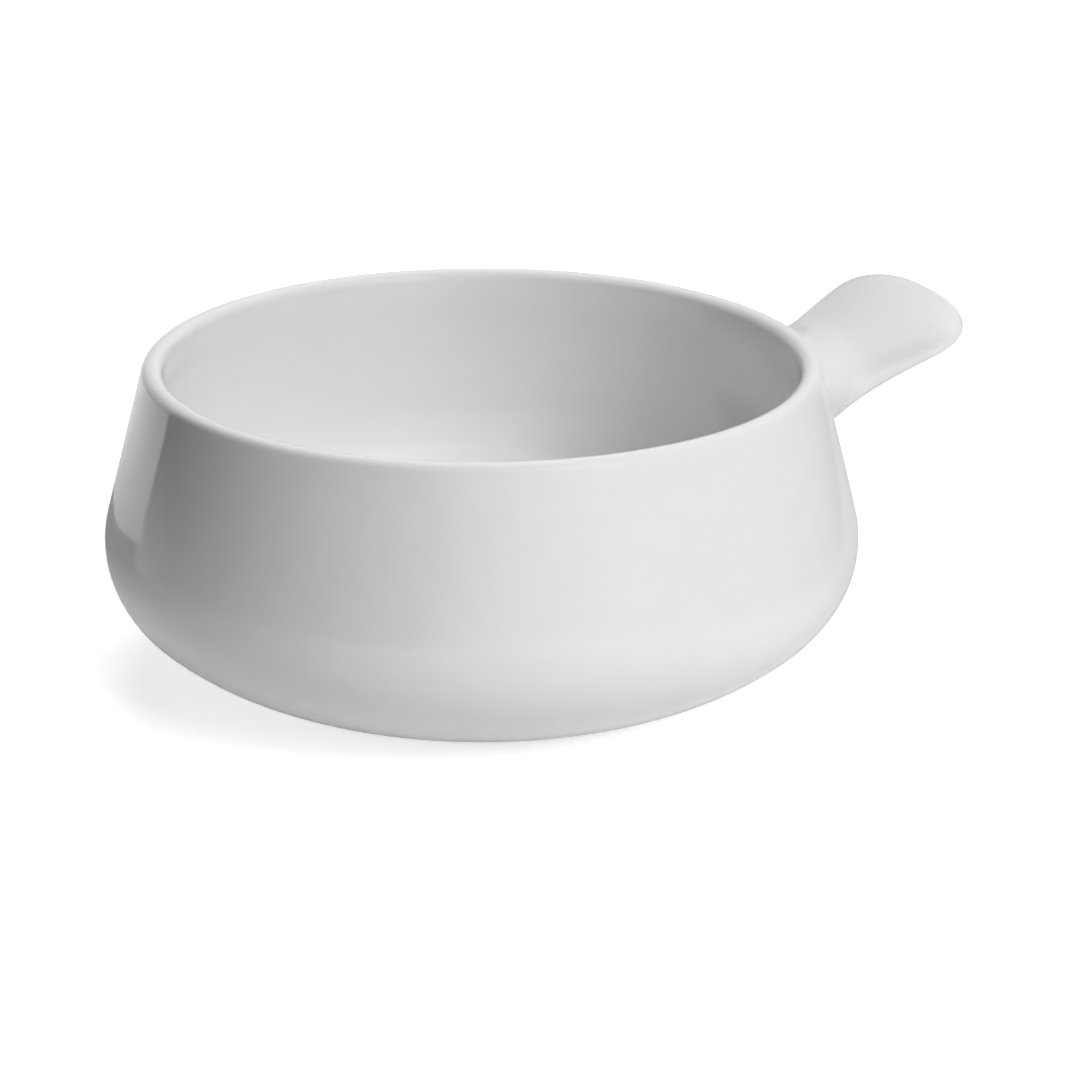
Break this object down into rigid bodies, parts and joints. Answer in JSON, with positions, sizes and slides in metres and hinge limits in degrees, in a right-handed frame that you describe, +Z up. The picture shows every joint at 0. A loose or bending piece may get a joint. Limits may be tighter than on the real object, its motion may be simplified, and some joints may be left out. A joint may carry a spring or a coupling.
{
  "type": "handled soup crock",
  "caption": "Glazed stoneware soup crock: a round bowl with an inward-leaning wall and a soft hip, on a dry foot ring, with a short flared paddle handle to carry it by.",
  "frame": {"origin": "on the table, under the middle of the foot ring", "axes": "+Z up out of the bowl's mouth, +X from the bowl's middle towards the handle's tip, +Y across the handle"},
  "size_m": [0.1465, 0.126, 0.0563],
  "materials": {
    "clay": "bare fired stoneware, matt",
    "glaze": "gloss white glaze"
  },
  "bodies": {
    "root": {"bowl": "clay", "handle": "clay", "luting_slip": "clay", "bowl_glaze": "glaze", "handle_glaze": "glaze", "base_glaze": "glaze"}
  },
  "joints": []
}
